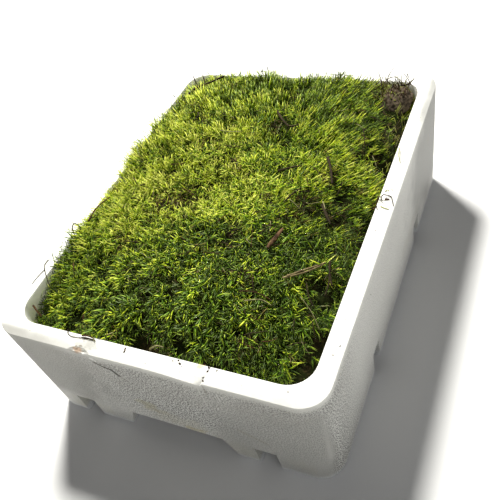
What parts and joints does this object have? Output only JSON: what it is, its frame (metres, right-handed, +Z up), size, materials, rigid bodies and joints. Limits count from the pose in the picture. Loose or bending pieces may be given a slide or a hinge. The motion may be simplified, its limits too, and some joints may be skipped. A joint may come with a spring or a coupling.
{
  "type": "moss clump",
  "caption": "Mat of living moss, domed and shaggy, with dry litter on it, resting in an open moulded foam box with raised feet and drain notches.",
  "frame": {"origin": "on the ground, under the middle of the foam box", "axes": "+X to the right along the box's short side, +Y away along its long side, +Z up"},
  "size_m": [0.3, 0.4, 0.1518],
  "materials": {
    "foam": "matte",
    "moss": "matte",
    "peat": "matte",
    "tan": "matte",
    "dark": "matte",
    "rust": "matte",
    "pale": "matte"
  },
  "bodies": {
    "root": {"foam_box": "foam", "moss_clump": "moss", "peat_lump": "peat", "bark_flake": "rust", "twig_right": "tan", "twig_short": "dark", "twig_back": "dark", "needle_left": "rust", "stem_dark": "dark", "twig_bent": "dark", "blade_pale": "pale", "root_front": "dark"}
  },
  "joints": []
}
